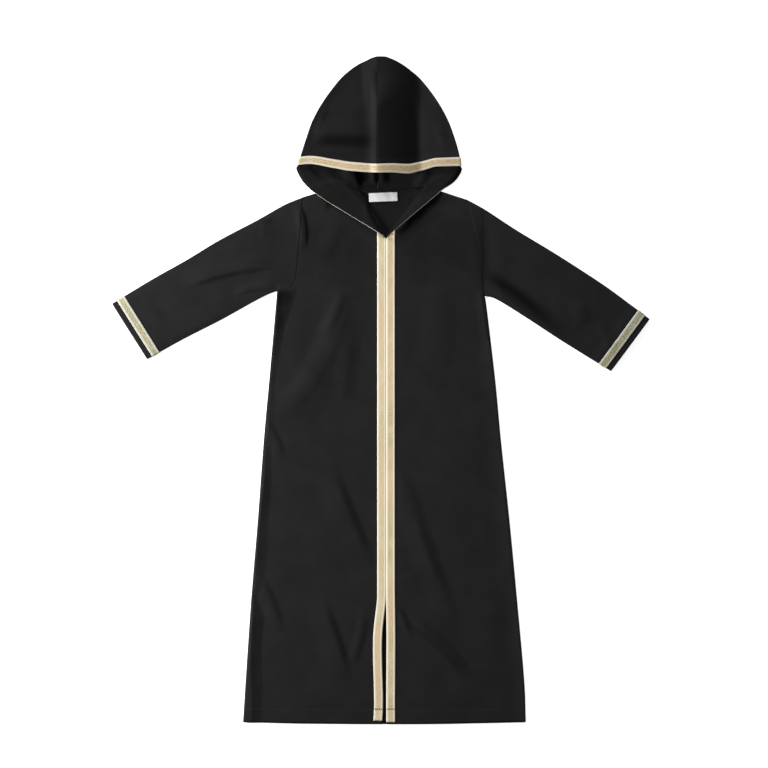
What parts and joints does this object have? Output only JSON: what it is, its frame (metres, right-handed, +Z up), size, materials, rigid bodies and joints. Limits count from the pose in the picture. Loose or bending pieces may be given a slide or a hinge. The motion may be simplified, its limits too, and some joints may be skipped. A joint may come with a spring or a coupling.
{
  "type": "child's hooded djellaba laid flat",
  "caption": "ankle-length hooded robe in plain cloth with ribbon-trimmed front, hood edge and cuffs, laid flat front up",
  "frame": {"origin": "on the surface it lies on, under the middle of its outline", "axes": "+X to the right as seen from above, +Y from the hem to the tip of the hood, +Z up out of the front"},
  "size_m": [0.9146, 1.1362, 0.0196],
  "materials": {
    "cloth": "matt black plain weave",
    "ribbon": "gold and cream woven ribbon",
    "label": "plain white woven label"
  },
  "bodies": {
    "root": {"back_panel": "cloth", "front_left": "cloth", "front_right": "cloth", "sleeve_left": "cloth", "sleeve_right": "cloth", "hood_left": "cloth", "hood_right": "cloth", "front_trim_left": "ribbon", "front_trim_right": "ribbon", "hood_trim": "ribbon", "cuff_trim_left": "ribbon", "cuff_trim_right": "ribbon", "neck_label": "label"}
  },
  "joints": []
}
